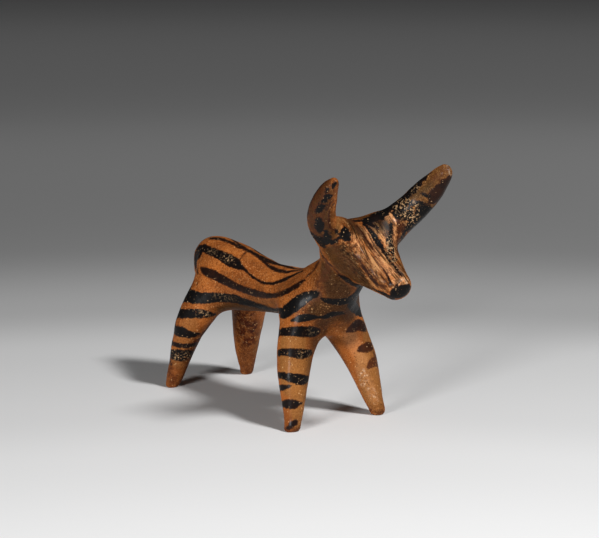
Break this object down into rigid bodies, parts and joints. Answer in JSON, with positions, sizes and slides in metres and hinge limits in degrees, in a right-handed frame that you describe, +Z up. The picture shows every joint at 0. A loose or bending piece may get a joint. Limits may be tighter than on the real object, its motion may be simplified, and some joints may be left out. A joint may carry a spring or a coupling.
{
  "type": "bull figurine",
  "caption": "Small hand-modelled terracotta bull on tapered legs, with a long face, upswept horns and dark painted stripes.",
  "frame": {"origin": "on the floor, at the middle of the figurine's box", "axes": "+X the way the bull faces, +Y its left, +Z up"},
  "size_m": [0.1014, 0.0454, 0.0779],
  "materials": {
    "fired_clay": "orange-brown fired clay, lightly burnished, with worn brown-black slip stripes"
  },
  "bodies": {
    "root": {"bull": "fired_clay"}
  },
  "joints": []
}
